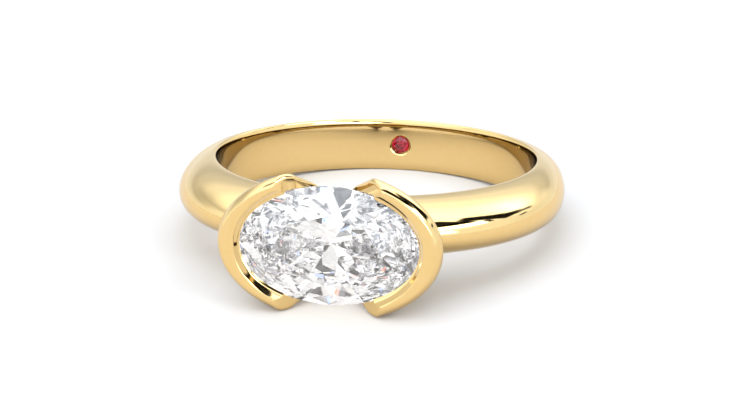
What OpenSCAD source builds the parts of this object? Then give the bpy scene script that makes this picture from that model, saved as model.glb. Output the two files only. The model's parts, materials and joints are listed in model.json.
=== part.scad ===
// Oval engagement ring with a half bezel, lying on its side as it rests on a table.
//
// Lengths are in millimetres, +Z is up and z = 0 is the surface that the ring lies on.
// The origin is at the centre of the ring's outline on that surface, and the head points
// along -Y. The ring is drawn about its own axis first: there the finger hole runs
// along Z, and "height" means the distance out from the finger hole at the head.

/* [Finger hole] */
// Inside diameter of the ring
bore_d = 16.5; // [15:0.25:19]
// How far each inner edge is eased along the hole
edge_run = 0.42; // [0.2:0.02:0.5]
// How deep each inner edge is eased into the metal
edge_depth = 0.12; // [0.06:0.02:0.16]

/* [Shank] */
// Width of the shank round the back
shank_w = 2.92; // [2.6:0.02:3.2]
// Width of the shank beside the head
neck_w = 2.76; // [2.5:0.02:3]
// Thickness of the shank round the back
shank_t = 1.5; // [1.3:0.05:1.8]
// Thickness of the shoulders beside the head
shoulder_t = 2.95; // [2.6:0.05:3.1]
// Angle from the head at which the shoulders start to rise
shoulder_from = 100; // [80:5:120]
// Angle from the head at which the shoulders are full
shoulder_to = 20; // [15:1:28]
// Power of the curve that domes the section, 2 is an ellipse
dome_power = 2.1; // [1.9:0.05:2.4]

/* [Oval stone] */
// Length of the stone, along the shank
stone_l = 8.5; // [8.2:0.1:8.8]
// Width of the stone, along the finger hole
stone_w = 5.5; // [5.3:0.1:5.7]
// Height of the stone's girdle above the finger hole
girdle_height = 4.2; // [4.15:0.05:4.4]
// Height of the crown from the girdle to the table
crown_h = 0.78; // [0.65:0.02:0.9]
// Thickness of the girdle where two facets meet on it
girdle_t = 0.2; // [0.18:0.02:0.26]
// Depth of the pavilion from the girdle to the point
pavilion_h = 2.3; // [2.1:0.05:2.35]
// Width of the table as a share of the stone's width
table_share = 0.58; // [0.52:0.01:0.62]

/* [Bezel cups] */
// Height of the rim above the finger hole
rim_height = 4.8; // [4.7:0.05:4.95]
// Metal outside the stone at each end of the oval
end_wall = 1; // [0.85:0.05:1.15]
// Metal outside the stone along each side of the oval
side_wall = 0.85; // [0.75:0.05:0.95]
// Width of the opening between the cups at the rim
notch_w = 4.92; // [4.5:0.02:5.2]
// Width of the opening at its throat, where its faces turn steeper
throat_w = 2.6; // [2.2:0.05:3]
// Height of the throat above the finger hole
throat_height = 3.3; // [3:0.05:3.6]
// Radius at the bottom of the opening
notch_r = 0.7; // [0.5:0.05:0.8]
// Height of the opening's lowest point above the finger hole
notch_floor = 1.3; // [1.2:0.05:1.4]
// Gap between a stone and its seat
seat_gap = 0.04; // [0.03:0.01:0.06]

/* [Red stone] */
// Diameter of the small stone inside the shank
accent_d = 1; // [0.8:0.05:1.2]
// Depth of its girdle below the inner face of the shank
red_depth = 0.2; // [0.18:0.01:0.24]

/* [Hidden] */

bore_r = bore_d / 2;
around = 96;                    // stations round the shank
over = 20;                      // steps over the dome of the section
oval_sides = 64;                // sides of the ovals and of the round girdles
turn_fn = 96;                   // smoothness of the turned cuts

rim_a = stone_l / 2 + end_wall;     // half length of the cups at their widest
rim_b = stone_w / 2 + side_wall;    // half width of the cups at their widest
girdle_top = girdle_height + girdle_t / 2;
girdle_low = girdle_height - girdle_t / 2;
table_height = girdle_top + crown_h;

// Where the ring touches the surface: the widest row of the cups at the opening's edge,
// and the back of the shank, whose section is close to an ellipse.
touch_height = rim_height - 0.23;
notch_slope = (notch_w - throat_w) / 2 / (rim_height - throat_height);
touch_x = notch_w / 2 - (rim_height - touch_height) * notch_slope;
touch_z = rim_b * sqrt(1 - pow(touch_x / rim_a, 2));
function lean_after(steps, t) = steps == 0 ? t :
    lean_after(steps - 1, atan((touch_z - sqrt(pow(shank_t * tan(t), 2)
        + pow(shank_w / 2, 2))) / (touch_height + 2 * bore_r)));
lean = lean_after(6, 5);
lift = touch_z * cos(lean) - (bore_r + touch_height) * sin(lean);

// The outline on the surface runs from the table's lower edge to the back of the shank.
front_y = (bore_r + table_height) * cos(lean) + table_share * stone_w / 2 * sin(lean);
back_y = bore_r * cos(lean) + sqrt(pow(shank_t * cos(lean), 2)
    + pow(shank_w / 2 * sin(lean), 2));
shift_y = (front_y - back_y) / 2;

// 0 up to u = 0, 1 from u = 1 on, and smooth between
function ease(u) = let (v = min(max(u, 0), 1)) v * v * (3 - 2 * v);

// Keeps the sign of v and raises its size to the power p
function signed_pow(v, p) = sign(v) * pow(abs(v), p);

// Thickness and width of the shank at an angle from the head
function thickness_at(a) = shank_t + (shoulder_t - shank_t)
    * ease((shoulder_from - a) / (shoulder_from - shoulder_to));
function width_at(a) = shank_w - (shank_w - neck_w)
    * ease((shoulder_from - a) / (shoulder_from - shoulder_to));

// One section as [radius, z] pairs: over the dome, then back inside the finger hole,
// where the hole's own cut trims it
function section_at(a) = let (t = thickness_at(a), w = width_at(a)) concat(
    [for (j = [0 : over]) let (s = -90 + 180 * j / over)
        [bore_r + t * pow(abs(cos(s)), 2 / dome_power),
         w / 2 * signed_pow(sin(s), 2 / dome_power)]],
    [[bore_r - 0.3, w / 2], [bore_r - 0.3, -w / 2]]);

// Rows [height, half length, half width] of the cups' outside, from inside the shank
// to the rim. The wall flares straight out of the shank, turns over a soft shoulder
// and ends in a narrow flat land.
function cup_rows() = let (
    flare_a = 0.5, flare_b = (rim_b - 0.04 - neck_w / 2 + 0.05) / (rim_height - 0.35 - 0.05),
    foot = 0.05, brow = rim_height - 0.35) [
    [foot, rim_a - 0.05 - flare_a * (brow - foot), rim_b - 0.04 - flare_b * (brow - foot)],
    [brow, rim_a - 0.05, rim_b - 0.04],
    [rim_height - 0.23, rim_a, rim_b],
    [rim_height - 0.1, rim_a - 0.09, rim_b - 0.12],
    [rim_height, rim_a - 0.3, rim_b - 0.35]];

// Rows of the hollow inside the cups: a flat floor over the shank, the open space under
// the stone, the bearing that carries it, the girdle, the lip and the slope to the land
function hollow_rows() = let (a = stone_l / 2 + seat_gap, b = stone_w / 2 + seat_gap,
    low = 1 - 0.34 / pavilion_h) [
    [1.5, 1.5, 0.7],
    [2.3, 2.5, 1.45],
    [girdle_low - 0.42, a * low - 0.12, b * low - 0.12],
    [girdle_low - 0.34, a * low + 0.02, b * low + 0.02],
    [girdle_low, a, b],
    [girdle_top, a, b],
    [girdle_top + 0.06, a - 0.1, b - 0.05],
    [rim_height, a + 0.13, b + 0.26],
    [rim_height + 0.3, a + 0.22, b + 0.43]];

// A closed solid through oval rows, standing on the lowest one
module oval_loft(rows) {
    n = oval_sides;
    points = [for (r = rows, i = [0 : n - 1])
        [r[1] * cos(360 * i / n), r[2] * sin(360 * i / n), r[0]]];
    sides = [for (k = [0 : len(rows) - 2], i = [0 : n - 1])
        let (j = (i + 1) % n, p = k * n, q = p + n)
        each [[p + i, q + j, p + j], [p + i, q + i, q + j]]];
    polyhedron(points, concat(
        [[for (i = [0 : n - 1]) i]],
        sides,
        [[for (i = [n - 1 : -1 : 0]) (len(rows) - 1) * n + i]]));
}

// Turns a shape drawn with its height along Z to the head, outside the finger hole
module at_head() {
    translate([0, -bore_r, 0]) rotate([90, 0, 0]) children();
}

// Lays the finished ring on the surface
module laid_down() {
    translate([0, shift_y, lift]) rotate([-lean, 0, 0]) children();
}

// The swept shank, still without its finger hole
module shank() {
    m = over + 3;
    points = [for (i = [0 : around - 1]) let (t = 360 * i / around, a = min(t, 360 - t))
        for (p = section_at(a)) [p[0] * sin(t), -p[0] * cos(t), p[1]]];
    faces = [for (i = [0 : around - 1], j = [0 : m - 1])
        let (p = i * m, q = ((i + 1) % around) * m, k = (j + 1) % m)
        each [[p + j, q + k, q + j], [p + j, p + k, q + k]]];
    polyhedron(points, faces);
}

// The finger hole, with both of its edges eased
module finger_hole() {
    half = shank_w / 2;
    rotate_extrude($fn = turn_fn)
        polygon([[0, -half - 4], [bore_r + edge_depth, -half - 4], [bore_r + edge_depth, -half],
            [bore_r + edge_depth * 0.3, -half + edge_run * 0.45], [bore_r, -half + edge_run],
            [bore_r, half - edge_run], [bore_r + edge_depth * 0.3, half - edge_run * 0.45],
            [bore_r + edge_depth, half], [bore_r + edge_depth, half + 4], [0, half + 4]]);
}

// The opening that parts the two cups. On each side a slanted face runs in from the rim
// to the throat, and a steeper one on to the round bottom, which it meets as a tangent.
module notch() {
    centre = notch_floor + notch_r;
    top = rim_height + 1;
    reach = [throat_w / 2, throat_height - centre];
    turn = atan2(reach[1], reach[0]) - acos(notch_r / norm(reach));
    side = [[notch_r * cos(turn), centre + notch_r * sin(turn)],
        [throat_w / 2, throat_height],
        [notch_w / 2 + notch_slope, top]];
    translate([0, -bore_r, -6]) rotate([0, 0, 180]) {
        linear_extrude(12)
            polygon(concat(side, [for (k = [2 : -1 : 0]) [-side[k][0], side[k][1]]]));
        translate([0, centre, 0]) cylinder(r = notch_r, h = 12, $fn = 48);
    }
}

// A point of a stone, from its azimuth, its share of the stone's half axes and its height
function on_stone(azimuth, share, height, half) =
    [half[0] * share * cos(azimuth), half[1] * share * sin(azimuth), height];

// A brilliant cut with the given half axes, whose girdle has its middle at z = 0: a table,
// 8 stars, 8 kites and 16 upper halves over the girdle, 16 lower halves and 8 mains under
// it. table_r is the table's corner, star_r the outer corner of the stars and low_r the
// inner corner of the lower halves, all as shares of the half axes. The heights follow
// from these, so that each facet is flat, and the halves cut the girdle in scallops.
module brilliant(half, crown, girdle, pavilion, table_r, sides, star_r = 0.8, low_r = 0.24) {
    top = girdle / 2;
    star_z = crown * (1 - star_r * cos(22.5)) / (1 - table_r);
    low_z = pavilion * (1 - low_r * cos(22.5));
    chord = cos(11.25);
    per_half = sides / 16;
    // how far a half facet has fallen below its corners at step i of the girdle
    sink = [for (i = [0 : per_half - 1])
        cos(22.5 * i / per_half - 11.25) / chord - 1];
    function rim(low, z, fall) = [for (i = [0 : sides - 1])
        on_stone(360 * i / sides, 1, z - low * fall * sink[i % per_half], half)];
    points = concat(
        [for (k = [0 : 7]) on_stone(45 * k, table_r, top + crown, half)],
        [for (k = [0 : 7]) on_stone(45 * k + 22.5, star_r, top + star_z, half)],
        rim(1, top, star_z / (1 - star_r)),
        rim(-1, -top, low_z / (1 - low_r)),
        [for (k = [0 : 7]) on_stone(45 * k + 22.5, low_r, -top - low_z, half)],
        [[0, 0, -top - pavilion]]);
    s = 8;                      // first star corner
    g = 16;                     // first corner on the girdle's upper edge
    b = g + sides;              // first corner on the girdle's lower edge
    p = b + sides;              // first inner corner of the lower halves
    tip = p + 8;
    faces = concat(
        [[for (k = [7 : -1 : 0]) k]],
        [for (k = [0 : 7]) [k, (k + 1) % 8, s + k]],
        [for (k = [0 : 7]) [k, s + k, g + 2 * per_half * k, s + (k + 7) % 8]],
        [for (h = [0 : 15]) concat([s + floor(h / 2)],
            [for (i = [per_half : -1 : 0]) g + (h * per_half + i) % sides])],
        [for (i = [0 : sides - 1]) let (j = (i + 1) % sides) [g + i, g + j, b + j, b + i]],
        [for (h = [0 : 15]) concat([p + floor(h / 2)],
            [for (i = [0 : per_half]) b + (h * per_half + i) % sides])],
        [for (k = [0 : 7]) [tip, p + (k + 7) % 8, b + 2 * per_half * k, p + k]]);
    polyhedron(points, faces);
}

// The red stone's seat, drilled outwards from the finger hole
module red_seat() {
    r = accent_d / 2 + seat_gap / 2;
    translate([0, bore_r, 0]) rotate([-90, 0, 0]) rotate_extrude($fn = 48)
        polygon([[0, -0.5], [r, -0.5], [r, red_depth + 0.05],
            [0.14, red_depth + 0.05 + 0.85 * (r - 0.14)], [0, red_depth + 0.95 * r + 0.05]]);
}

module band_and_bezel() {
    color("gold") laid_down() difference() {
        union() {
            shank();
            at_head() oval_loft(cup_rows());
        }
        at_head() oval_loft(hollow_rows());
        notch();
        finger_hole();
        red_seat();
    }
}

module oval_stone() {
    color("lightcyan") laid_down() at_head() translate([0, 0, girdle_height])
        brilliant([stone_l / 2, stone_w / 2], crown_h, girdle_t, pavilion_h, table_share,
            oval_sides);
}

module red_stone() {
    color("crimson") laid_down() translate([0, bore_r + red_depth, 0]) rotate([90, 0, 0])
        brilliant([accent_d / 2, accent_d / 2], accent_d * 0.14, accent_d * 0.05,
            accent_d * 0.4, 0.58, 32);
}

band_and_bezel();
oval_stone();
red_stone();
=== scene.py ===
import json
import logging
import math
from contextlib import contextmanager
from dataclasses import dataclass, field
from enum import Enum
from typing import Callable, Iterator, Sequence

import bmesh
import bpy
from bpy.types import Material, Node, NodeSocket, NodeTree, Object
from mathutils import Matrix, Vector


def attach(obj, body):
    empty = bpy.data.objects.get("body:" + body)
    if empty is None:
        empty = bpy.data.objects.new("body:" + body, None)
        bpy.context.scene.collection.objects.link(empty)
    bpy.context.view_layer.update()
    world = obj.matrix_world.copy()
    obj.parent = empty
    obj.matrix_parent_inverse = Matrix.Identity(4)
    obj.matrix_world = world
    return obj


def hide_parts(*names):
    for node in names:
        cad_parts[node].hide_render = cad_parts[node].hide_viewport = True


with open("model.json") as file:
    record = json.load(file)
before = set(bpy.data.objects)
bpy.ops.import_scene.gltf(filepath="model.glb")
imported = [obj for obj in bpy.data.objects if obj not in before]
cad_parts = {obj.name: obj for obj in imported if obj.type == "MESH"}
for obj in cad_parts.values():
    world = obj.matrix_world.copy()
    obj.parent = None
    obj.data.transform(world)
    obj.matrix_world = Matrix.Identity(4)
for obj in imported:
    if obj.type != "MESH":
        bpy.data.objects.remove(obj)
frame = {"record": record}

log = logging.getLogger("ring")

MM = 0.001
NEAR = 1e-4                           # corners closer than this, in millimetres, are one
STEP = 0.02                           # how far off, in millimetres, a slope is read from
Row = tuple[float, float, float]      # height, half length, half width
Point = tuple[float, float]
Colour = tuple[float, float, float]
Tones = tuple[tuple[float, Colour], ...]


# Modelling by hand: small wrappers round the operators

def deselect_all() -> None:
    """Leaves object mode with nothing selected."""
    if bpy.context.object and bpy.context.object.mode != "OBJECT":
        bpy.ops.object.mode_set(mode="OBJECT")
    for other in bpy.context.selected_objects:
        other.select_set(False)


def make_active(obj: Object) -> None:
    """Selects obj alone and makes it the active object.

    Args:
        obj: the object to work on.
    """
    deselect_all()
    obj.select_set(True)
    bpy.context.view_layer.objects.active = obj


@contextmanager
def editing(obj: Object) -> Iterator[None]:
    """Edit mode on obj alone, by vertices, with all of it selected.

    Args:
        obj: the object to edit.

    Returns:
        The context, at whose end object mode comes back.
    """
    make_active(obj)
    bpy.ops.object.mode_set(mode="EDIT")
    bpy.ops.mesh.select_mode(type="VERT")
    bpy.ops.mesh.select_all(action="SELECT")
    try:
        yield
    finally:
        bpy.ops.object.mode_set(mode="OBJECT")


def select_vertices(obj: Object,
                    wanted: Callable[[bmesh.types.BMVert], bool]) -> None:
    """Selects the vertices that pass the test, in edit mode.

    Args:
        obj: the object in edit mode.
        wanted: the test, which is given each vertex.
    """
    mesh = bmesh.from_edit_mesh(obj.data)
    mesh.verts.index_update()
    for vert in mesh.verts:
        vert.select = wanted(vert)
    mesh.select_flush_mode()
    bmesh.update_edit_mesh(obj.data)


def turn(angle: float, axis: str, centre: Sequence[float] = (0, 0, 0)) -> None:
    """Turns the selection anticlockwise about an axis, in degrees."""
    bpy.ops.transform.rotate(value=-math.radians(angle), orient_axis=axis,
                             center_override=centre)


def apply_modifier(obj: Object, kind: str, **settings: object) -> None:
    """Adds a modifier of a kind with its settings, and applies it at once.

    Args:
        obj: the piece that it shapes.
        kind: the modifier's type, in capitals.
        settings: its properties by name.
    """
    make_active(obj)
    modifier = obj.modifiers.new(kind.title(), kind)
    for key, value in settings.items():
        setattr(modifier, key, value)
    bpy.ops.object.modifier_apply(modifier=modifier.name)


def smooth_by_subdivision(obj: Object, levels: int) -> None:
    """Rounds a cage with Catmull-Clark subdivision and applies it."""
    apply_modifier(obj, "SUBSURF", levels=levels, render_levels=levels)


def combine(obj: Object, tool: Object, operation: str) -> None:
    """Applies a boolean between obj and a tool, and removes the tool."""
    apply_modifier(obj, "BOOLEAN", object=tool, operation=operation, solver="MANIFOLD")
    bpy.data.objects.remove(tool)


def face_outwards(obj: Object) -> None:
    """Merges doubles and makes every face point out of the solid.

    Args:
        obj: a closed mesh.
    """
    with editing(obj):
        bpy.ops.mesh.remove_doubles(threshold=NEAR)
        bpy.ops.mesh.normals_make_consistent(inside=False)


def move_corners(obj: Object, first: int, corners: Sequence[Vector]) -> None:
    """Moves a new circle's points to their places one by one, in edit mode.

    Args:
        obj: the object in edit mode, with a circle of radius 1 round the origin.
        first: index of the circle's first point.
        corners: where the points go, in order.
    """
    for index, corner in enumerate(corners):
        select_vertices(obj, lambda vert: vert.index == first + index)
        turned = 2 * math.pi * index / len(corners)
        start = Vector((-math.sin(turned), math.cos(turned), 0))
        bpy.ops.transform.translate(value=corner - start)


def draw_loop(name: str, corners: Sequence[Vector]) -> Object:
    """Draws a closed wire through the corners, in order, with its origin at zero.

    Args:
        name: the new object's name.
        corners: the wire's corners, in order round it.

    Returns:
        The wire.
    """
    deselect_all()
    bpy.ops.mesh.primitive_circle_add(vertices=len(corners), radius=1)
    obj = bpy.context.object
    obj.name = name
    with editing(obj):
        move_corners(obj, 0, corners)
    return obj


def bridge_loops(name: str, loops: Sequence[Sequence[Vector]]) -> Object:
    """Bridges wires of as many corners each into a closed bar.

    Args:
        name: the new object's name.
        loops: the wires' corners, from one end of the bar to the other.

    Returns:
        The bar, closed at both ends.
    """
    obj = draw_loop(name, loops[0])
    count = len(loops[0])
    with editing(obj):
        for k, corners in enumerate(loops[1:], 1):
            bpy.ops.mesh.select_all(action="DESELECT")
            bpy.ops.mesh.primitive_circle_add(vertices=count, radius=1)
            move_corners(obj, k * count, corners)
        last = len(loops) - 1
        for start in (0, last * count):
            select_vertices(obj, lambda vert: start <= vert.index < start + count)
            bpy.ops.mesh.edge_face_add()
        for k in range(last):
            start = k * count
            select_vertices(obj, lambda vert: start <= vert.index < start + 2 * count)
            if k in (0, last - 1):
                bpy.ops.mesh.select_mode(type="EDGE")
                bpy.ops.mesh.select_mode(type="VERT")
            bpy.ops.mesh.bridge_edge_loops()
    face_outwards(obj)
    return obj


def extrude_loop(obj: Object, way: Vector) -> None:
    """Fills a closed wire and draws it out into a bar, as far as the way goes.

    Args:
        obj: the closed wire.
        way: how far and which way it is drawn out.
    """
    with editing(obj):
        bpy.ops.mesh.edge_face_add()
        bpy.ops.mesh.extrude_region_move(TRANSFORM_OT_translate={"value": way})
    face_outwards(obj)


def mirror_both_ways(obj: Object) -> None:
    """Adds mirror images of all that obj holds, across X and then across Y.

    Args:
        obj: the piece, which lies in one quarter.
    """
    for axis in ((-1, 1, 1), (1, -1, 1)):
        with editing(obj):
            bpy.ops.mesh.duplicate()
            bpy.ops.transform.resize(value=axis, center_override=(0, 0, 0))
        face_outwards(obj)


def move_all(obj: Object, way: Sequence[float], tip: float = 0) -> Object:
    """Tips all of a piece about X, in degrees, then moves it and returns it.

    Args:
        obj: the piece.
        way: how far it moves along X, Y and Z.
        tip: how far it is tipped first, in degrees.

    Returns:
        The same piece.
    """
    with editing(obj):
        if tip:
            turn(tip, "X")
        bpy.ops.transform.translate(value=way)
    return obj


def loft_ovals(name: str, rows: Sequence[Row], sides: int) -> Object:
    """Raises a closed solid from an oval, one row after the other.

    Args:
        name: the new object's name.
        rows: (height, half length, half width) of each oval, from the bottom cap to the
            top cap, which may lie anywhere along the axis.
        sides: number of corners of each oval.

    Returns:
        The solid, upright about Z.
    """
    deselect_all()
    height, half_l, half_w = rows[0]
    bpy.ops.mesh.primitive_circle_add(vertices=sides, radius=1, location=(0, 0, height))
    obj = bpy.context.object
    obj.name = name
    bpy.ops.object.transform_apply(location=True, rotation=False, scale=False)
    with editing(obj):
        bpy.ops.transform.resize(value=(half_l, half_w, 1), center_override=(0, 0, height))
        bpy.ops.mesh.edge_face_add()
        for (z0, a0, b0), (z1, a1, b1) in zip(rows, rows[1:]):
            bpy.ops.mesh.extrude_region_move(
                TRANSFORM_OT_translate={"value": (0, 0, z1 - z0)})
            bpy.ops.transform.resize(value=(a1 / a0, b1 / b0, 1),
                                     center_override=(0, 0, z1))
    face_outwards(obj)
    return obj


def ease(u: float) -> float:
    """0 up to u = 0, 1 from u = 1 on, and smooth between."""
    v = min(max(u, 0.0), 1.0)
    return v * v * (3 - 2 * v)


def slope_of(curve: Callable[[float], float], at: float, step: float) -> float:
    """How steep a curve is at a height, from its values a step below and above."""
    return (curve(at + step) - curve(at - step)) / (2 * step)


# The parts, modelled in millimetres about the ring's own axis, with the head along -Y

@dataclass
class Shank:
    """The domed shank, flat inside and thickest beside the head."""

    bore_r: float = 8.25
    width: float = 2.92
    neck_width: float = 2.76
    thickness: float = 1.5
    shoulder: float = 2.95
    shoulder_from: float = 100.0
    shoulder_to: float = 20.0
    dome_power: float = 2.1
    edge_run: float = 0.42
    edge_depth: float = 0.12
    stations: int = 80
    dome_steps: int = 14
    edge_steps: int = 3
    levels: int = 2

    def grown(self, angle: float) -> float:
        """How far the shank has grown into its shoulder at an angle from the head."""
        return ease((self.shoulder_from - angle) / (self.shoulder_from - self.shoulder_to))

    def outline(self) -> list[Point]:
        """The section at the back of the ring, as (distance from the axis, z).

        Returns:
            Its corners in order: over the dome, round one edge, along the flat inside and round
                the other edge.
        """
        power = 2 / self.dome_power
        side = math.acos((self.edge_depth / self.thickness) ** (1 / power))
        half = self.width / 2
        full = math.sin(side) ** power
        points = []
        for i in range(self.dome_steps + 1):
            s = side * (2 * i / self.dome_steps - 1)
            z = half / full * math.copysign(abs(math.sin(s)) ** power, s)
            points.append((self.bore_r + self.thickness * math.cos(s) ** power, z))
        corner = []
        for i in range(1, self.edge_steps + 1):
            s = math.radians(90 * i / self.edge_steps)
            corner.append((self.bore_r + self.edge_depth * (1 - math.sin(s)),
                           half - self.edge_run * (1 - math.cos(s))))
        flat = half - self.edge_run
        points += corner
        points += [(self.bore_r, flat * k) for k in (0.5, 0, -0.5)]
        points += [(x, -z) for x, z in reversed(corner)]
        return points

    def build(self) -> Object:
        """Sets copies of the section round the finger hole, sizes each and bridges them.

        Returns:
            The shank, about the ring's own axis.
        """
        obj = draw_loop("shank", [Vector((x, 0, z)) for x, z in self.outline()])
        count = len(obj.data.vertices)
        with editing(obj):
            for k in range(self.stations):
                self.add_section(obj, count, k)
            select_vertices(obj, lambda vert: vert.index < count)
            bpy.ops.mesh.delete(type="VERT")
            for k in range(self.stations):
                here, after = k * count, (k + 1) % self.stations * count
                select_vertices(obj, lambda vert: here <= vert.index < here + count
                                or after <= vert.index < after + count)
                bpy.ops.mesh.bridge_edge_loops()
        face_outwards(obj)
        smooth_by_subdivision(obj, self.levels)
        return obj

    def add_section(self, obj: Object, count: int, station: int) -> None:
        """Copies the pattern section, sizes the copy and turns it to its station.

        Args:
            obj: the object in edit mode, with the pattern as its first vertices.
            count: number of vertices in the pattern.
            station: the station's number, counted from the head.
        """
        angle = 360 * station / self.stations
        grown = self.grown(min(angle, 360 - angle))
        rise = self.thickness - self.edge_depth
        thicker = (rise + (self.shoulder - self.thickness) * grown) / rise
        narrower = 1 - (1 - self.neck_width / self.width) * grown
        start = count * (station + 1)
        foot = self.bore_r + self.edge_depth
        select_vertices(obj, lambda vert: vert.index < count)
        bpy.ops.mesh.duplicate()
        bpy.ops.transform.resize(value=(1, 1, narrower), center_override=(0, 0, 0))
        select_vertices(obj, lambda vert: vert.index >= start and vert.co.x > foot)
        bpy.ops.transform.resize(value=(thicker, 1, 1), center_override=(foot, 0, 0))
        select_vertices(obj, lambda vert: vert.index >= start)
        turn(angle - 90, "Z")


@dataclass
class OvalSeat:
    """The half bezel: two cups round the oval stone, parted by an opening on each side.

    Heights are measured from the finger hole's wall.
    """

    bore_r: float = 8.25
    stone_l: float = 8.5
    stone_w: float = 5.5
    crown: float = 0.78
    pavilion: float = 2.3
    girdle_height: float = 4.2
    girdle_t: float = 0.2
    rim_height: float = 4.8
    end_wall: float = 1.0
    side_wall: float = 0.85
    notch_top: float = 2.42
    notch_slant: float = 0.84
    notch_bend: float = 3.2
    notch_r: float = 0.62
    notch_floor: float = 1.3
    notch_steps: int = 16
    notch_depth: float = 12.0
    gap: float = 0.04
    flare: float = 0.5
    foot: Row = (0.16, 2.6, 1.1)
    # height and half width, from the foot up
    bowl: tuple[Point, ...] = ((0.2, 1.15), (0.9, 1.42), (1.8, 1.84), (2.3, 2.1), (2.75, 2.42),
                               (3.1, 2.78), (3.45, 3.12), (3.8, 3.42))
    brow_drop: float = 0.6
    brow_inset: Point = (0.05, 0.06)
    # how far down from the rim, and how far in from the cups' greatest half width
    shoulder: tuple[Point, ...] = ((0.5, 0.065), (0.4, 0.09), (0.345, 0.108), (0.19, 0.205),
                                   (0.135, 0.246), (0.06, 0.315), (0.02, 0.365), (0.005, 0.415))
    shoulder_share: float = 0.75
    shoulder_start: float = 0.01
    land_inset: Point = (0.5, 0.45)
    # how far up from its level, and how far out from the stone in length and width
    bevel: tuple[Row, ...] = (
        (-0.004, 0.1, 0.33), (-0.018, 0.055, 0.29), (-0.05, 0.03, 0.265),
        (-0.09, 0.014, 0.241), (-0.295, -0.066, 0.117), (-0.335, -0.082, 0.09),
        (-0.362, -0.1, 0.06), (-0.38, -0.12, 0.02))
    lip: tuple[Row, ...] = (
        (0.09, -0.155, -0.095), (0.087, -0.162, -0.107), (0.084, -0.165, -0.11),
        (0.08, -0.162, -0.107), (0.055, -0.12, -0.075), (0.02, -0.02, -0.02), (0, 0.01, 0.01))
    groove: tuple[Row, ...] = ((0, 0.01, 0.01), (-0.02, -0.02, -0.02))
    shelf_share: float = 0.852
    shelf: tuple[Point, ...] = ((-0.32, 0), (-0.34, -0.02), (-0.42, -0.12), (-0.5, -0.17))
    hollow: tuple[Row, ...] = ((2.3, 2.5, 1.45), (1.55, 1.54, 0.74), (1.5, 1.45, 0.66))
    cleared: tuple[Row, ...] = ((1.0, 2.3, 1.2), (1.5, 2.6, 1.35), (2.3, 3.3, 1.95),
                                (3.7, 4.15, 2.7), (6.0, 4.8, 3.2))
    corner_round: float = 0.22
    corner_steps: int = 8
    end_round: float = 0.22
    least_round: float = 0.03
    round_from: float = 2.5
    round_over: float = 1.2
    round_past: float = 0.6
    round_steps: int = 10
    round_stations: int = 12
    round_stock: float = 1.2
    round_skin: float = 0.001
    sides: int = 72
    levels: int = 2

    def to_head(self, obj: Object) -> Object:
        """Tips a piece that stands about Z over to the head, outside the finger hole."""
        return move_all(obj, (0, -self.bore_r, 0), tip=90)

    def brow(self) -> float:
        """The height at which the tapered wall ends and the rim's shoulder begins."""
        return self.rim_height - self.brow_drop

    def reach(self) -> Point:
        """The cups' greatest half length and half width."""
        return self.end_wall + self.stone_l / 2, self.side_wall + self.stone_w / 2

    def long_at(self, height: float) -> float:
        """The tapered wall's half length at a height below the brow."""
        return self.reach()[0] - self.brow_inset[0] - self.flare * (self.brow() - height)

    def wide_at(self, height: float) -> float:
        """The outside's half width at a height, up to where the rim's shoulder begins.

        Args:
            height: the height, from the foot up.

        Returns:
            The half width there.
        """
        b = self.reach()[1]
        marks = (*self.bowl, (self.brow(), b - self.brow_inset[1]),
                 *((self.rim_height - down, b - inset) for down, inset in self.shoulder[:3]))
        for (h0, b0), (h1, b1) in zip(marks, marks[1:]):
            if height <= h1:
                return b0 + (b1 - b0) * (height - h0) / (h1 - h0)
        return marks[-1][1]

    def outer_rows(self) -> list[Row]:
        """The outside from the foot in the shank, over the rim's shoulder, to the land.

        Returns:
            (height, half length, half width) of each oval, in that order.
        """
        (a, b), top = self.reach(), self.rim_height
        rows = [self.foot]
        rows += [(h, self.long_at(h), half_w) for h, half_w in self.bowl]
        rows.append((self.brow(), a - self.brow_inset[0], b - self.brow_inset[1]))
        rows += [(top - down, a - self.brow_inset[0]
                  - self.shoulder_share * (inset - self.shoulder_start), b - inset)
                 for down, inset in self.shoulder]
        return rows + [(top, a - self.land_inset[0], b - self.land_inset[1])]

    def inner_rows(self) -> list[Row]:
        """The inside from the land down the bevel to the lip, the groove and the floor.

        Returns:
            (height, half length, half width) of each oval, in that order.
        """
        a, b = self.stone_l / 2 + self.gap, self.stone_w / 2 + self.gap
        half, share = self.girdle_t / 2, self.shelf_share
        levels = ((self.rim_height, self.bevel), (self.girdle_height + half, self.lip),
                  (self.girdle_height - half, self.groove))
        rows = [(level + rise, a + more_l, b + more_w)
                for level, steps in levels for rise, more_l, more_w in steps]
        rows += [(self.girdle_height - half + rise, a * share + more, b * share + more)
                 for rise, more in self.shelf]
        return rows + list(self.hollow)

    def build_cups(self) -> Object:
        """The closed cup all round the oval, before it is parted.

        Returns:
            The closed cup, at the head.
        """
        obj = loft_ovals("cups", self.outer_rows() + self.inner_rows(), self.sides)
        smooth_by_subdivision(obj, self.levels)
        return self.to_head(obj)

    def build_clearance(self) -> Object:
        """What is cleared from the shank under the stone, inside the cup's wall."""
        return self.to_head(loft_ovals("clearance", self.cleared, self.sides))

    def half_opening(self, height: float) -> float:
        """The opening's half width: straight down from the rim, then bent to its bottom.

        Args:
            height: the height, from the middle of the round bottom up.

        Returns:
            The half width there.
        """
        low, bend = self.notch_floor + self.notch_r, self.notch_bend
        reach = self.notch_top - self.notch_slant * (self.rim_height - bend) - self.notch_r
        if height >= bend:
            return self.notch_r + reach + self.notch_slant * (height - bend)
        power = self.notch_slant * (bend - low) / reach
        return self.notch_r + reach * max((height - low) / (bend - low), 0) ** power

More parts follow.
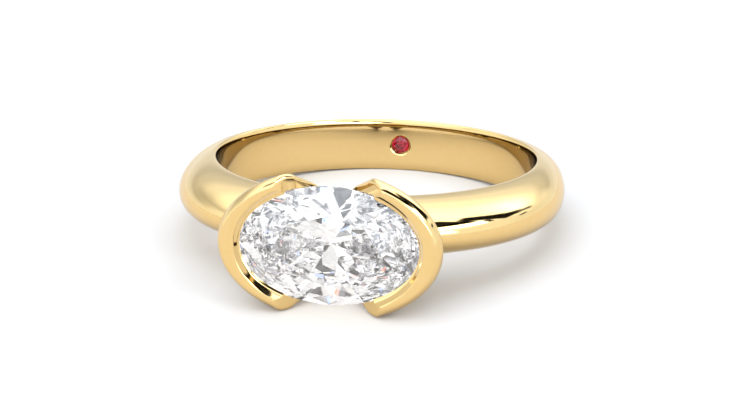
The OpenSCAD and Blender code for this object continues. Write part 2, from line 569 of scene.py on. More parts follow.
    def build_opening(self) -> Object:
        """The tool that parts the cups: bent sides, eased at the rim, and a round bottom.

        Returns:
            The tool, at the head.
        """
        centre, steps = self.notch_floor + self.notch_r, self.notch_steps
        half = [Vector((self.notch_r * math.sin(s), 0, centre - self.notch_r * math.cos(s)))
                for s in (math.pi / 2 * k / steps for k in range(1, steps))]
        half += [Vector((self.half_opening(h), 0, h)) for h in
                 (centre + (self.notch_bend - centre) * k / steps for k in range(steps + 1))]
        slope = Vector((self.notch_slant, 0, 1)).normalized()
        turn_by = math.acos(slope.x)
        start = Vector((self.notch_top, 0, self.rim_height)) \
            - slope * self.corner_round * math.tan(turn_by / 2)
        down = Vector((slope.z, 0, -slope.x))
        for k in range(self.corner_steps + 1):
            bent = turn_by * k / self.corner_steps
            half.append(start + slope * math.sin(bent) * self.corner_round
                        + down * (1 - math.cos(bent)) * self.corner_round)
        for way in ((0.5, 0, 0.01), (0.1, 0, 1)):       # out over the rim, and up
            half.append(half[-1] + Vector(way))
        points = [Vector((-point.x, 0, point.z)) for point in half]
        points += reversed(half)
        points.append(Vector((0, 0, self.notch_floor)))
        obj = move_all(draw_loop("opening", points), (0, -self.notch_depth / 2, 0))
        extrude_loop(obj, Vector((0, self.notch_depth, 0)))
        return self.to_head(obj)

    def edge_at(self, height: float) -> Vector:
        """Where the opening's side meets the outside of the right hand cup.

        Args:
            height: the height of the point.

        Returns:
            The point, before the cups are tipped over to the head.
        """
        x = self.half_opening(height)
        a, b = self.long_at(min(height, self.brow())), self.wide_at(height)
        return Vector((x, b * math.sqrt(1 - (x / a) ** 2), height))

    def wall_normal(self, edge: Vector) -> Vector:
        """The outward normal of the cup's outside at a point on its edge.

        Args:
            edge: the point, as edge_at gives it.

        Returns:
            The normal, which isn't of unit length.
        """
        a, b = self.long_at(min(edge.z, self.brow())), self.wide_at(edge.z)
        lean = slope_of(self.wide_at, edge.z, STEP)
        return Vector((edge.x / a ** 2, edge.y / b ** 2,
                       -lean * edge.y ** 2 / b ** 3 - self.flare * edge.x ** 2 / a ** 3))

    def build_end_rounds(self) -> Object:
        """Four moulding cutters that round the cups' ends along the outer wall.

        Returns:
            The four cutters in one object, at the head.
        """
        loops = []
        for k in range(self.round_stations + 1):
            height = self.round_from + (self.rim_height + self.round_past - self.round_from) \
                * k / self.round_stations
            edge = self.edge_at(height)
            way = (self.edge_at(height + STEP) - self.edge_at(height - STEP)).normalized()
            wall = self.wall_normal(edge)
            face = Vector((-1, 0, slope_of(self.half_opening, height, STEP / 2)))
            wall = (wall - way * wall.dot(way)).normalized()
            face = (face - way * face.dot(way)).normalized()
            r = self.least_round + (self.end_round - self.least_round) \
                * ease((height - self.round_from) / self.round_over)
            middle = edge - (face + wall) * (r / (1 + face.dot(wall)))
            corners = [middle + face.slerp(wall, i / self.round_steps) * r
                       for i in range(self.round_steps + 1)]
            corners[0] += face * self.round_skin
            corners[-1] += wall * self.round_skin
            loops.append(corners + [corners[-1] + wall * self.round_stock,
                                    corners[0] + face * self.round_stock])
        obj = bridge_loops("end_rounds", loops)
        mirror_both_ways(obj)
        return self.to_head(obj)

    def set_stone(self, lie: "Lie") -> None:
        """Cuts the oval stone, sets it in the cups and dresses it.

        Args:
            lie: where the ring lies.
        """
        obj = Brilliant(self.stone_l / 2, self.stone_w / 2, self.crown, self.girdle_t,
                        self.pavilion).build("oval_brilliant")
        self.to_head(move_all(obj, (0, 0, self.girdle_height)))
        lie.lay_down(obj)
        clear = CutStone("clear_brilliant", colour=(1, 1, 1), cloud=(0.98, 0.985, 1), ior=2.417)
        dress(obj, clear.material(), "oval_stone")
        obj.visible_shadow = obj.visible_diffuse = False


@dataclass
class RedSeat:
    """The flush seat of the red stone inside the shank, opposite the head."""

    bore_r: float = 8.25
    stone_d: float = 1.0
    crown: float = 0.14
    girdle: float = 0.05
    pavilion: float = 0.4
    gap: float = 0.02
    depth: float = 0.17
    burnish: float = 0.09
    well: float = 0.05
    point_r: float = 0.02
    cone_from: float = 0.14
    cone_slope: float = 0.85
    sides: int = 64
    stone_sides: int = 32

    def to_back(self, obj: Object) -> Object:
        """Tips a piece that stands about Z over to the back, drilling outwards."""
        return move_all(obj, (0, self.bore_r, 0), tip=-90)

    def build_drill(self) -> Object:
        """A drill with a straight wall, a cone point and a burnished flare at its mouth.

        Returns:
            The drill, at the back of the shank.
        """
        r, low = self.stone_d / 2 + self.gap, self.depth + self.well
        # height, and share of the burnished flare
        flare = ((-0.5, 1), (-0.01, 1), (0.015, 0.6), (0.04, 0.25), (0.08, 0), (low, 0))
        rows = [(height, r + share * self.burnish) for height, share in flare]
        rows += [(low + self.cone_slope * (r - self.cone_from), self.cone_from),
                 (low + self.cone_slope * r, self.point_r)]
        return self.to_back(loft_ovals("drill", [(h, x, x) for h, x in rows], self.sides))

    def set_stone(self, lie: "Lie") -> None:
        """Cuts the red stone, sets it with its table inwards and dresses it.

        Args:
            lie: where the ring lies.
        """
        obj = Brilliant(self.stone_d / 2, self.stone_d / 2, self.crown, self.girdle,
                        self.pavilion, sides=self.stone_sides).build("red_brilliant")
        self.to_back(move_all(obj, (0, 0, self.depth), tip=180))
        lie.lay_down(obj)
        crimson = CutStone("red_brilliant", colour=(0.4, 0.001, 0.008),
                           cloud=(0.6, 0.012, 0.06), ior=1.77, specular=0.15)
        dress(obj, crimson.material(), "red_stone")


@dataclass
class GoldRing:
    """The whole gold piece: the shank with the cups soldered on, and both seats."""

    shank: Shank = field(default_factory=Shank)
    seat: OvalSeat = field(default_factory=OvalSeat)
    red_seat: RedSeat = field(default_factory=RedSeat)
    sharp_angle: float = 30.0
    flat_weight: int = 50

    def build(self) -> Object:
        """Models the gold, with the seats cut and its edges shaded sharp.

        Returns:
            The gold ring in millimetres, about its own axis.
        """
        obj = self.shank.build()
        combine(obj, self.seat.build_clearance(), "DIFFERENCE")
        combine(obj, self.seat.build_cups(), "UNION")
        combine(obj, self.seat.build_opening(), "DIFFERENCE")
        combine(obj, self.seat.build_end_rounds(), "DIFFERENCE")
        combine(obj, self.red_seat.build_drill(), "DIFFERENCE")
        obj.name = "gold_ring"
        make_active(obj)
        bpy.ops.object.shade_smooth_by_angle(angle=math.radians(self.sharp_angle))
        apply_modifier(obj, "WEIGHTED_NORMAL", keep_sharp=True, weight=self.flat_weight)
        return obj

    def place(self, lie: "Lie") -> None:
        """Builds the gold, lays it down and dresses it.

        Args:
            lie: where the ring lies.
        """
        obj = self.build()
        lie.lay_down(obj)
        dress(obj, Gold(lie, self.seat).material(), "band_and_bezel")


@dataclass
class Brilliant:
    """A brilliant-cut stone: a round blank ground flat facet by facet, then made oval."""

    half_l: float
    half_w: float
    crown: float
    girdle: float
    pavilion: float
    table_r: float = 0.58
    star_r: float = 0.8
    low_r: float = 0.24
    sides: int = 64
    mains: int = 8
    spare: float = 0.4

    def facets(self) -> Iterator[tuple[Vector, Vector, Vector]]:
        """Three corners of each facet over and under the girdle.

        Returns:
            The corners of one facet after the other, on the round blank.
        """
        def corner(azimuth: float, radius: float, z: float) -> Vector:
            """A facet's corner on the round blank."""
            a = math.radians(azimuth)
            return Vector((radius * math.cos(a), radius * math.sin(a), z))

        top, step = self.girdle / 2, 360 / self.mains
        share = math.cos(math.radians(step / 2))
        star_z = top + self.crown * (1 - self.star_r * share) / (1 - self.table_r)
        low_z = -top - self.pavilion * (1 - self.low_r * share)
        lift = Vector((0, 0, top))
        for k in range(self.mains):
            a, mid = step * k, step * k + step / 2
            point, inner = corner(mid, self.star_r, star_z), corner(mid, self.low_r, low_z)
            table = corner(a, self.table_r, top + self.crown)
            yield table, corner(a + step, self.table_r, top + self.crown), point
            yield table, corner(a - step / 2, self.star_r, star_z), point
            yield (Vector((0, 0, -top - self.pavilion)),
                   corner(a - step / 2, self.low_r, low_z), inner)
            for start in (a, mid):
                ends = [corner(start + s, 1, 0) for s in (0, step / 2)]
                yield ends[0] + lift, ends[1] + lift, point
                yield ends[0] - lift, ends[1] - lift, inner

    def build(self, name: str) -> Object:
        """Grinds a round blank flat, facet by facet, and makes it oval.

        Args:
            name: the new object's name.

        Returns:
            The stone, with its girdle at z = 0.
        """
        deselect_all()
        top, low = self.girdle / 2 + self.crown, -self.girdle / 2 - self.pavilion
        bpy.ops.mesh.primitive_cylinder_add(vertices=self.sides, radius=1,
                                            depth=top - low + self.spare,
                                            location=(0, 0, (top + low - self.spare) / 2),
                                            rotation=(0, 0, math.radians(90)))
        obj = bpy.context.object
        obj.name = name
        bpy.ops.object.transform_apply(location=True, rotation=True, scale=False)
        with editing(obj):
            for p, q, r in self.facets():
                normal = (q - p).cross(r - p).normalized()
                if normal.dot(p) < 0:
                    normal.negate()
                bpy.ops.mesh.select_all(action="SELECT")
                bpy.ops.mesh.bisect(plane_co=p, plane_no=normal, use_fill=True,
                                    clear_outer=True, threshold=1e-5)
            bpy.ops.mesh.select_all(action="SELECT")
            bpy.ops.transform.resize(value=(self.half_l, self.half_w, 1))
        face_outwards(obj)
        return obj


# The finishes

class Socket(Enum):
    """Kinds of node group socket used by the finishes."""

    NUMBER = "NodeSocketFloat"
    VECTOR = "NodeSocketVector"


class Blend(Enum):
    """What a mix node mixes: its data type, the first of its two inputs, and its output."""

    NUMBERS = ("FLOAT", 2, 0)
    COLOURS = ("RGBA", 6, 2)


def feed(tree: NodeTree, socket: NodeSocket, value: object) -> None:
    """Links an input to another node's result, or sets its own value.

    Args:
        tree: the node tree.
        socket: the input.
        value: another node's result, or the input's own value.
    """
    if isinstance(value, NodeSocket):
        tree.links.new(value, socket)
    else:
        socket.default_value = value


def fit(tree: NodeTree, node: Node, **values: object) -> None:
    """Sets a node's properties and inputs.

    Args:
        tree: the node tree.
        node: the node.
        values: properties by name, and inputs by name with spaces as "_", each with a
            value or with the result that is linked to it.
    """
    for key, value in values.items():
        if hasattr(node, key):
            setattr(node, key, value)
        else:
            feed(tree, node.inputs[key.replace("_", " ")], value)


def add_node(tree: NodeTree, kind: str, **values: object) -> Node:
    """Adds a node and sets its properties and inputs.

    Args:
        tree: the node tree.
        kind: the node's class name after "ShaderNode".
        values: its properties and inputs by name, as in fit.

    Returns:
        The node.
    """
    node = tree.nodes.new("ShaderNode" + kind)
    fit(tree, node, **values)
    return node


def group_ends(name: str, inputs: dict[str, Socket], outputs: dict[str, Socket]
               ) -> tuple[NodeTree, bpy.types.NodeOutputs, Node]:
    """Makes an empty node group with its sockets.

    Args:
        name: the group's name.
        inputs: kind of each input by name.
        outputs: kind of each output by name.

    Returns:
        The group, what it is given, by name, and its output node.
    """
    tree = bpy.data.node_groups.new(name, "ShaderNodeTree")
    for side, sockets in (("INPUT", inputs), ("OUTPUT", outputs)):
        for label, kind in sockets.items():
            tree.interface.new_socket(label, in_out=side, socket_type=kind.value)
    return tree, tree.nodes.new("NodeGroupInput").outputs, tree.nodes.new("NodeGroupOutput")


def maths(tree: NodeTree, operation: str, *values: object, kind: str = "Math") -> NodeSocket:
    """Works out numbers or vectors.

    Args:
        tree: the node tree.
        operation: what the node works out.
        values: its inputs, in order.
        kind: "Math" for numbers, or "VectorMath".

    Returns:
        The node's result.
    """
    node = add_node(tree, kind, operation=operation)
    for socket, value in zip(node.inputs, values):
        feed(tree, socket, value)
    return next(socket for socket in node.outputs if socket.enabled)


def scaled(tree: NodeTree, vector: object, scale: NodeSocket) -> NodeSocket:
    """A vector or colour times a number."""
    node = add_node(tree, "VectorMath", operation="SCALE", Vector=vector, Scale=scale)
    return node.outputs["Vector"]


def mixed(tree: NodeTree, share: NodeSocket, low: object, high: object,
          blend: Blend = Blend.COLOURS) -> NodeSocket:
    """Mixes two colours or numbers, by the share of the second one.

    Args:
        tree: the node tree.
        share: the share of the second one, from 0 to 1.
        low: the first colour or number.
        high: the second one.
        blend: whether they are colours or numbers.

    Returns:
        The mixture.
    """
    data_type, first, result = blend.value
    node = add_node(tree, "Mix", data_type=data_type)
    for index, value in ((0, share), (first, low), (first + 1, high)):
        feed(tree, node.inputs[index], value)
    return node.outputs[result]


def light_path(tree: NodeTree, *names: str) -> list[NodeSocket]:
    """What the light path says of a ray, by name, with depths as masks: none or some.

    Args:
        tree: the node tree.
        names: which outputs of the light path are wanted.

    Returns:
        One result for each name, in order.
    """
    path = add_node(tree, "LightPath").outputs
    return [maths(tree, "GREATER_THAN", path[name], 0.5) if "Depth" in name else path[name]
            for name in names]


def tone_ramp(tree: NodeTree, share: NodeSocket, tones: Sequence[tuple[float, Colour]],
              interpolation: str = "LINEAR") -> NodeSocket:
    """Turns a number that varies over a surface into a colour.

    Args:
        tree: the node tree.
        share: the number.
        tones: (place, colour) from low to high.
        interpolation: how one tone passes into the next.

    Returns:
        The colour.
    """
    ramp = add_node(tree, "ValToRGB", Fac=share)
    ramp.color_ramp.interpolation = interpolation
    marks = ramp.color_ramp.elements
    while len(marks) < len(tones):
        marks.new(0.5)
    for mark, (place, colour) in zip(marks, tones):
        mark.position = place
        mark.color = (*colour, 1)
    return ramp.outputs["Color"]


def scraps(tree: NodeTree, place: NodeSocket, scale: float, tones: Tones) -> NodeSocket:
    """Light broken into bright and dark scraps by place, as cut stones do.

    Args:
        tree: the node tree.
        place: the place or direction that the scraps vary with.
        scale: how fine they are.
        tones: (place, colour) from low to high, each kept up to the next.

    Returns:
        The light's colour.
    """
    cells = add_node(tree, "TexVoronoi", feature="F1", Scale=scale, Vector=place)
    pick = add_node(tree, "SeparateXYZ", Vector=cells.outputs["Color"])
    return tone_ramp(tree, pick.outputs["X"], tones, "CONSTANT")


def fine_marks() -> NodeTree:
    """The shared group of fine marks: roughness and a normal that vary over a surface.

    Returns:
        The group, which is built once and then shared.
    """
    name = "fine_marks"
    if name in bpy.data.node_groups:
        return bpy.data.node_groups[name]
    tree, given, out = group_ends(
        name, dict.fromkeys(("Scale", "Smoothest", "Roughest", "Depth"), Socket.NUMBER),
        {"Roughness": Socket.NUMBER, "Normal": Socket.VECTOR, "Clouds": Socket.NUMBER})
    place = add_node(tree, "TexCoord").outputs["Object"]
    clouds = add_node(tree, "TexNoise", Detail=6.0, Roughness=0.6, Scale=given["Scale"],
                      Vector=place).outputs["Fac"]
    streaks = add_node(tree, "Mapping", Scale=(1, 1, 9), Vector=place)
    hairs = add_node(tree, "TexNoise", Detail=3.0, Roughness=0.5, Scale=given["Scale"],
                     Vector=streaks.outputs["Vector"])
    both = mixed(tree, 0.4, clouds, hairs.outputs["Fac"], Blend.NUMBERS)
    spread = add_node(tree, "MapRange", From_Min=0.35, From_Max=0.68, Value=both,
                      To_Min=given["Smoothest"], To_Max=given["Roughest"])
    bump = add_node(tree, "Bump", Strength=1.0, Distance=given["Depth"], Height=both)
    fit(tree, out, Roughness=spread.outputs["Result"], Normal=bump.outputs["Normal"],
        Clouds=clouds)
    return tree


@dataclass(frozen=True)
class Marks:
    """The fine marks of one finish.

    The scale is roughly in marks per metre and the depth in metres. Marks without a depth
    change the roughness alone. Between the two values of drift the clouds take one tone
    over into the other.
    """

    scale: float
    smoothest: float
    roughest: float
    depth: float = 0.0
    drift: Point = (0.3, 0.7)

    def begin(self, name: str, one: Colour, other: Colour
              ) -> tuple[Material, NodeTree, Node, NodeSocket]:
        """Starts a material with the marks.

        Args:
            name: the material's name.
            one: its tone where the clouds are thin.
            other: its tone where they are thick.

        Returns:
            The material, its node tree, its shader and the drifting tone.
        """
        material = bpy.data.materials.new(name)
        material.use_nodes = True
        tree = material.node_tree
        shader = tree.nodes["Principled BSDF"]
        group = add_node(tree, "Group", name="marks", node_tree=fine_marks(),
                         Scale=self.scale, Smoothest=self.smoothest, Roughest=self.roughest,
                         Depth=self.depth)
        fit(tree, shader, Roughness=group.outputs["Roughness"])
        if self.depth:
            fit(tree, shader, Normal=group.outputs["Normal"])
        return material, tree, shader, self.tone(tree, one, other)

    def tone(self, tree: NodeTree, one: Colour, other: Colour) -> NodeSocket:
        """A tone that drifts with the clouds of the material's marks."""
        clouds = tree.nodes["marks"].outputs["Clouds"]
        return tone_ramp(tree, clouds, tuple(zip(self.drift, (one, other))))


@dataclass(frozen=True)
class Gold:
    """Polished yellow gold, with light and shade painted into what it mirrors and what shows
    through a stone.

    A tone that is seen after n mirrorings is painted darker: deep_share ** (n ** deep_power) as
    bright.
    Under the oval stone, heights are measured from the finger hole's wall.
    """

    lie: "Lie"
    seat: OvalSeat
    name: str = "polished_gold"
    colour: Colour = (0.97, 0.69, 0.30)
    warm: Colour = (0.985, 0.715, 0.33)
    marks: Marks = Marks(scale=2600, smoothest=0.035, roughest=0.085, depth=2.5e-7)
    deep_share: float = 0.5
    deep_power: float = 1.5
    stone_foot: float = 0.6
    stone_over: float = 0.1
    # painted light: inside the seat, mirrored gold glows in place of the stone
    glow_from: float = 1.5
    glow_below_rim: float = 0.05
    glow_x: float = 0.5
    glow_spread: float = 0.2
    painted_glow_tones: Tones = (
        (0.0, (0.7, 0.69, 0.67)), (0.79, (0.85, 0.83, 0.8)), (0.82, (0.01, 0.01, 0.01)))
    # painted light: gold seen through a stone is painted as bright and dark scraps
    painted_sparkle_scale: float = 2000
    painted_sparkle_tones: Tones = (
        (0.0, (0.03, 0.03, 0.04)), (0.2, (0.4, 0.4, 0.42)), (0.25, (0.97, 0.97, 0.98)),
        (0.85, (0.9, 0.82, 0.7)), (0.92, (0.97, 0.97, 0.97)))

    def material(self) -> Material:
        """Makes the gold's material: painted shade in deeper mirrorings, a painted glow of the
        stone inside the seat, and painted sparkle where a stone is looked through.

        Returns:
            The material.
        """
        material, tree, shader, tone = self.marks.begin(self.name, self.colour, self.warm)
        place = add_node(tree, "TexCoord").outputs["Object"]
        through, mirrored = light_path(tree, "Transmission Depth", "Glossy Depth")
        turns = add_node(tree, "LightPath").outputs["Glossy Depth"]
        # painted shade: the gold's own mirrorings are darkened by their count
        painted_deep_shade = maths(tree, "POWER", self.deep_share,
                       maths(tree, "POWER", turns, self.deep_power))
        # painted glow: mirrored gold inside the seat turns black and emits a stand-in for the
        # stone
        under, painted_glow = self.under_stone(tree, place)
        inside = maths(tree, "MULTIPLY", under,
                       maths(tree, "MULTIPLY", mirrored, maths(tree, "SUBTRACT", 1.0, through)))
        shaded = scaled(tree, tone,
                        maths(tree, "MULTIPLY", painted_deep_shade, maths(tree, "SUBTRACT", 1.0, inside)))
        # painted sparkle: through a stone, the gold's colour becomes bright and dark scraps
        painted_sparkle = scraps(tree, place, self.painted_sparkle_scale, self.painted_sparkle_tones)
        fit(tree, shader, Metallic=1, Base_Color=mixed(tree, through, shaded, painted_sparkle),
            Emission_Color=scaled(tree, painted_glow, inside), Emission_Strength=1)
        return material

    def under_stone(self, tree: NodeTree, place: NodeSocket) -> tuple[NodeSocket, NodeSocket]:
        """The seat's inside, where a painted glow stands in for the oval stone that the gold
        mirrors.

        Args:
            tree: the material's node tree.
            place: the place on the ring.

        Returns:
            A mask of the seat's inside, and the painted glow there: bright low, dark high.
        """
        seat = self.seat
        upright = add_node(tree, "Mapping", vector_type="TEXTURE", Vector=place,
                           Location=self.lie.centre, Rotation=(self.lie.lean(), 0, 0),
                           Scale=(MM, MM, MM)).outputs["Vector"]
        parts = add_node(tree, "SeparateXYZ", Vector=upright).outputs
        height = maths(tree, "SUBTRACT", maths(tree, "MULTIPLY", parts["Y"], -1.0), seat.bore_r)
        grown = maths(tree, "DIVIDE", maths(tree, "ADD", height, self.stone_foot),
                      seat.girdle_height + self.stone_foot)
        across = [maths(tree, "POWER", maths(tree, "DIVIDE", parts[axis],
                                             size / 2 + self.stone_over), 2.0)
                  for axis, size in (("X", seat.stone_l), ("Z", seat.stone_w))]
        within = maths(tree, "LESS_THAN", maths(tree, "ADD", *across),
                       maths(tree, "POWER", grown, 2.0))
        low = maths(tree, "GREATER_THAN", height, self.glow_from)
        high = maths(tree, "LESS_THAN", height, seat.rim_height - self.glow_below_rim)
        above = maths(tree, "MULTIPLY", parts["Z"],
                      maths(tree, "GREATER_THAN", parts["X"], self.glow_x))
        painted_glow = tone_ramp(tree, maths(tree, "MULTIPLY_ADD", above, self.glow_spread, 0.5),
                         self.painted_glow_tones)
        return maths(tree, "MULTIPLY", within, maths(tree, "MULTIPLY", low, high)), painted_glow


@dataclass(frozen=True)
class CutStone:
    """A clear or coloured faceted stone, which mirrored rays pass as if it weren't there."""

    name: str
    colour: Colour
    cloud: Colour
    ior: float
    specular: float = 0.5
    marks: Marks = Marks(scale=3000, smoothest=0.0, roughest=0.0015, drift=(0.35, 0.65))

    def material(self) -> Material:
        """Makes the stone's material.

        Returns:
            The material.
        """
        material, tree, shader, tone = self.marks.begin(self.name, self.colour, self.cloud)
        path = add_node(tree, "LightPath").outputs
        outside = maths(tree, "LESS_THAN", path["Transmission Depth"], 0.5)
        mirrored = maths(tree, "MULTIPLY", outside, path["Is Glossy Ray"])
        fit(tree, shader, Base_Color=tone, IOR=self.ior, Specular_IOR_Level=self.specular,
            Transmission_Weight=1, Alpha=maths(tree, "SUBTRACT", 1.0, mirrored))
        return material


# Putting the ring on the floor

@dataclass(frozen=True)
class Lie:
    """Where the ring lies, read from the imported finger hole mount."""

    centre: Vector
    axis: Vector

    def lean(self) -> float:
        """The angle about X that tips a piece from its own axis to where it lies."""
        return -math.atan2(self.axis.y, self.axis.z)

    @classmethod
    def from_record(cls, record: dict) -> "Lie":
        """Reads the finger hole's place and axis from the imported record."""
        mount = record["mounts"][0]
        return cls(Vector(mount["pos_m"]), Vector(mount["axis"]))

    def lay_down(self, obj: Object) -> None:
        """Takes a finished piece from millimetres about its own axis to its place.

        Args:
            obj: the piece, in millimetres about the ring's own axis.
        """
        make_active(obj)
        obj.rotation_euler = (self.lean(), 0, 0)
        obj.location = self.centre
        obj.scale = (MM, MM, MM)
        bpy.ops.object.transform_apply(location=True, rotation=True, scale=True)


def dress(obj: Object, material: Material, node: str) -> None:
    """Gives a piece its finish and ties it to the frame.

    Args:
        obj: the piece, in place.
        material: its finish.
        node: the CAD node that it stands for.
    """
    obj.data.materials.clear()
    obj.data.materials.append(material)
    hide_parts(node)
    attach(obj, "root")
    log.info("%s stands for %s: %d faces", obj.name, node, len(obj.data.polygons))


def sky_axes(azimuth: float, elevation: float) -> tuple[Vector, Vector, Vector]:
    """The direction to a place in the sky, and right and up as seen from there.

    Args:
        azimuth: degrees round from the head, positive towards +X.
        elevation: degrees above the floor.

    Returns:
        The three directions, in that order.
    """
    az, el = math.radians(azimuth), math.radians(elevation)
    forward = Vector((math.sin(az) * math.cos(el), -math.cos(az) * math.cos(el), math.sin(el)))
    side = Vector((math.cos(az), math.sin(az), 0))
    return forward, side, forward.cross(side)


@dataclass(frozen=True)
class SkyCard:
    """A flat card hung round the ring, seen only in what the ring mirrors and as light.

    Widths and heights are tangents of the angles from the card's middle.
    """

    azimuth: float
    elevation: float
    half_width: float
    half_height: float
    roll: float = 0.0
    softness: float = 0.05
    radiance: float = 0.0

    def axes(self) -> tuple[Vector, Vector, Vector]:
        """The directions to the card, along its width and along its height.

        Returns:
            The three directions, in that order.
        """
        forward, side, up = sky_axes(self.azimuth, self.elevation)
        roll = math.radians(self.roll)
        return (forward, side * math.cos(roll) + up * math.sin(roll),
                up * math.cos(roll) - side * math.sin(roll))


@dataclass
class Studio:
    """The pale floor, the soft light and the camera."""

    lens: float = 80.39
    distance: Vector = field(default_factory=lambda: Vector((13.7246, -80.3685, 27.9533)))
    azimuth: float = 9.908
    elevation: float = 19.90
    sensor: float = 36.0
    clip: Point = (0.001, 20.0)
    floor_size: float = 4.0
    floor_marks: Marks = Marks(scale=400, smoothest=0.8, roughest=0.95, depth=1e-5)
    floor_drift: float = 1.015
    # painted light and shade: the floor's tone differs by ray, darker in what the ring mirrors,
    # near white through the stones
    floor_seen: Colour = (0.605, 0.59, 0.578)
    floor_mirrored_painted_dim: Colour = (0.49, 0.45, 0.405)
    floor_through_painted_white: Colour = (0.97, 0.97, 0.97)
    sky_tint: Colour = (0.97, 1.03, 1.10)
    sky_foot: float = -5.0
    sky_scale: float = 3.0
    sky_turn: Point = (-0.1, 0.5)
    front_sky: tuple[Point, ...] = ((-5, 1.02), (6, 1.08), (13, 1.18), (20, 1.4), (28, 1.58),
                                    (45, 1.75), (70, 1.95))
    back_sky: tuple[Point, ...] = ((-5, 1.02), (5, 0.94), (10, 0.85), (15, 0.64), (20, 0.75),
                                   (28, 1.07), (38, 1.4), (50, 1.75), (65, 2.1))
    cards: tuple[SkyCard, ...] = (
        SkyCard(100, 22.5, 1.2, 0.22, 0, 0.25, 1.05),
        SkyCard(-97, 28, 0.72, 0.08, 0, 0.25, 0.45),
        SkyCard(32.6, 17.9, 0.47, 0.16, 9.3, 0.05, 4),
        SkyCard(71.3, 43.3, 0.34, 0.13, -4.4, 0.03, 6),
        SkyCard(109, 33.2, 0.1, 0.09, -32.4, 0.05, 1.35),
        SkyCard(137.1, 37, 0.1, 0.3, -69.2, 0.25, 3.2),
        SkyCard(18.5, 27.8, 0.43, 0.06, 29.7, 0.03, 0.02),
        SkyCard(33.1, 29, 0.19, 0.08, 16.8, 0.03, 0),
        SkyCard(23, 17.5, 0.14, 0.03, 43.9, 0.02, 0.05),
        SkyCard(71.3, 64.6, 0.11, 0.08, -69.2, 0.05, 0.05),
        SkyCard(82.6, 56.3, 0.22, 0.12, -22.9, 0.05, 0),
        SkyCard(98.6, 38, 0.09, 0.04, -110.8, 0.02, 0.03),
        SkyCard(112.9, 42, 0.11, 0.1, -46.6, 0.05, 0.02),
        SkyCard(119.6, 32.2, 0.1, 0.09, -55.7, 0.04, 0.02),
        SkyCard(126, 25.6, 0.1, 0.05, -39.6, 0.04, 0.15),
        SkyCard(112.3, 44, 0.12, 0.3, 0, 0.03, 0.01),
        SkyCard(78, 66, 0.2, 0.12, 0, 0.03, 0.02),
        SkyCard(116.5, 18, 0.06, 0.03, 0, 0.02, 0.02),
        SkyCard(-99, 49, 0.13, 0.06, 0, 0.03, 0.5),
    )
    card_front: float = 0.01
    fill_azimuth: float = -40
    fill_elevation: float = 15
    fill_reach: float = 60
    fill_light: float = 2.2
    gem_cells: float = 5.5
    gem_tones: Tones = (
        (0.0, (0.0, 0.0, 0.0)), (0.28, (0.04, 0.04, 0.05)), (0.34, (0.4, 0.4, 0.4)),
        (0.38, (0.95, 0.93, 0.9)), (0.48, (1.8, 1.8, 1.8)), (0.7, (1.6, 1.5, 1.3)),
        (0.79, (0.75, 0.95, 1.6)), (0.83, (2.1, 2.1, 2.1)), (0.965, (1.7, 0.6, 0.45)),
    )

    def build_floor(self) -> None:
        """A wide pale floor under the ring, with light and shade painted by ray: brighter to the
        camera, darker in mirrors, near white through the stones.
        """
        deselect_all()
        bpy.ops.mesh.primitive_grid_add(x_subdivisions=4, y_subdivisions=4,
                                        size=self.floor_size)
        floor = bpy.context.object
        floor.name = "floor"
        marks, paler = self.floor_marks, self.floor_drift
        mirrored, seen = ((colour, tuple(paler * share for share in colour))
                          for colour in (self.floor_mirrored_painted_dim, self.floor_seen))
        material, tree, shader, tone = marks.begin("pale_floor", *mirrored)
        # painted by ray: camera, mirrored and through-stone copies of the floor's tone
        camera, through = light_path(tree, "Is Camera Ray", "Transmission Depth")
        shown = mixed(tree, camera, tone, marks.tone(tree, *seen))
        fit(tree, shader, Base_Color=mixed(tree, through, shown, (*self.floor_through_painted_white, 1)))
        floor.data.materials.append(material)

    def card_group(self) -> NodeTree:
        """The node group that says how far a direction lies on a card.

        Returns:
            The group, with the card's axes and sizes as inputs.
        """
        tree, given, out = group_ends(
            "sky_card", {**dict.fromkeys(("Direction", "Forward", "Right", "Up"), Socket.VECTOR),
                         **dict.fromkeys(("Half Width", "Half Height", "Softness"),
                                         Socket.NUMBER)},
            {"Mask": Socket.NUMBER})

        def dot(name: str) -> NodeSocket:
            """The direction's share along one of the card's axes."""
            return maths(tree, "DOT_PRODUCT", given["Direction"], given[name],
                         kind="VectorMath")

        ahead = dot("Forward")
        near = maths(tree, "MAXIMUM", ahead, self.card_front)
        inside = maths(tree, "GREATER_THAN", ahead, self.card_front)
        for axis, size in (("Right", "Half Width"), ("Up", "Half Height")):
            away = maths(tree, "ABSOLUTE", maths(tree, "DIVIDE", dot(axis), near))
            outer, inner = (maths(tree, sign, given[size], given["Softness"])
                            for sign in ("ADD", "SUBTRACT"))
            fade = add_node(tree, "MapRange", interpolation_type="SMOOTHSTEP", Value=away,
                            From_Min=outer, From_Max=inner)
            inside = maths(tree, "MULTIPLY", inside, fade.outputs["Result"])
        fit(tree, out, Mask=inside)
        return tree

    def sky_ramp(self, tree: NodeTree, height: NodeSocket, stops: Sequence[Point]
                 ) -> NodeSocket:
        """Brightness at stops by elevation, from a direction's height.

        Args:
            tree: the world's node tree.
            height: the direction's height, as a sine.
            stops: (degrees above the floor, brightness), from low to high.

        Returns:
            The brightness.
        """
        low, high = math.sin(math.radians(self.sky_foot)), 1.0
        place = add_node(tree, "MapRange", From_Min=low, From_Max=high, Value=height)
        tones = [((math.sin(math.radians(angle)) - low) / (high - low),
                  (bright / self.sky_scale,) * 3) for angle, bright in stops]
        return maths(tree, "MULTIPLY", tone_ramp(tree, place.outputs["Result"], tones, "EASE"),
                     self.sky_scale)

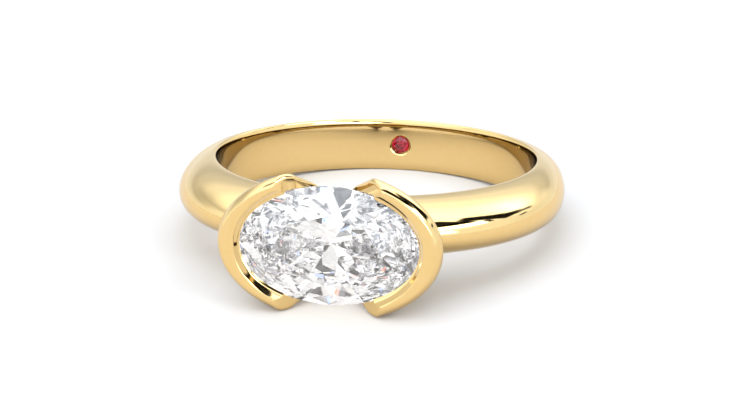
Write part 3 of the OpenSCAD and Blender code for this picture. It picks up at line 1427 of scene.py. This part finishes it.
    def fill(self, tree: NodeTree, direction: NodeSocket, colour: NodeSocket) -> NodeSocket:
        """Adds to the world's colour a soft light that only the floor is lit by.

        Args:
            tree: the world's node tree.
            direction: the direction that a ray goes in.
            colour: the world's colour so far.

        Returns:
            The colour with the light added.
        """
        toward, _, _ = sky_axes(self.fill_azimuth, self.fill_elevation)
        near = maths(tree, "DOT_PRODUCT", direction, toward, kind="VectorMath")
        lobe = add_node(tree, "MapRange", interpolation_type="SMOOTHSTEP", Value=near,
                        From_Min=math.cos(math.radians(self.fill_reach)), From_Max=1.0,
                        To_Max=self.fill_light)
        only = maths(tree, "MULTIPLY", lobe.outputs["Result"],
                     *light_path(tree, "Is Diffuse Ray"))
        return maths(tree, "ADD", colour, only, kind="VectorMath")

    def build_world(self) -> None:
        """Soft light from all round, with a few cards for the ring to mirror."""
        world = bpy.data.worlds.new("studio")
        bpy.context.scene.world = world
        world.use_nodes = True
        tree = world.node_tree
        direction = add_node(tree, "TexCoord").outputs["Generated"]
        parts = add_node(tree, "SeparateXYZ", Vector=direction).outputs
        front, back = self.sky_turn
        behind = add_node(tree, "MapRange", interpolation_type="SMOOTHSTEP",
                          From_Min=front, From_Max=back, Value=parts["Y"])
        light = mixed(tree, behind.outputs["Result"],
                      self.sky_ramp(tree, parts["Z"], self.front_sky),
                      self.sky_ramp(tree, parts["Z"], self.back_sky), Blend.NUMBERS)
        group = self.card_group()
        for card in self.cards:
            forward, right, up = card.axes()
            mask = add_node(tree, "Group", node_tree=group, Direction=direction,
                            Forward=forward, Right=right, Up=up, Softness=card.softness,
                            Half_Width=card.half_width, Half_Height=card.half_height)
            light = mixed(tree, mask.outputs["Mask"], light, card.radiance, Blend.NUMBERS)
        through, = light_path(tree, "Transmission Depth")
        seen = mixed(tree, through, scaled(tree, self.sky_tint, light),
                     scraps(tree, direction, self.gem_cells, self.gem_tones))
        fit(tree, tree.nodes["Background"], Color=self.fill(tree, direction, seen))
        world.cycles.sampling_method = "MANUAL"
        world.cycles.sample_map_resolution = 1024

    def build_camera(self, centre: Vector) -> None:
        """Places the camera at the photograph's angle to the finger hole's centre.

        Args:
            centre: the finger hole's centre.
        """
        data = bpy.data.cameras.new("camera")
        data.lens, data.sensor_width = self.lens, self.sensor
        data.clip_start, data.clip_end = self.clip
        camera = bpy.data.objects.new("camera", data)
        bpy.context.scene.collection.objects.link(camera)
        back, right, up = sky_axes(self.azimuth, self.elevation)
        camera.matrix_world = Matrix.Translation(centre + self.distance * MM) \
            @ Matrix((right, up, back)).transposed().to_4x4()
        bpy.context.scene.camera = camera

    def set_view(self) -> None:
        """Plain colour, as in the photograph, and enough bounces for cut stones."""
        scene = bpy.context.scene
        scene.view_settings.view_transform = "Standard"
        scene.cycles.max_bounces = 40
        scene.cycles.glossy_bounces = 32
        scene.cycles.transmission_bounces = 32


def main() -> None:
    """Builds the ring's pieces in order, then the studio."""
    logging.basicConfig(level=logging.INFO, format="%(name)s: %(message)s")
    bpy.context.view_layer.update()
    lie = Lie.from_record(frame["record"])
    ring = GoldRing()
    ring.place(lie)
    ring.seat.set_stone(lie)
    ring.red_seat.set_stone(lie)
    studio = Studio()
    studio.build_floor()
    studio.build_world()
    studio.build_camera(lie.centre)
    studio.set_view()


if __name__ == "__main__":
    main()
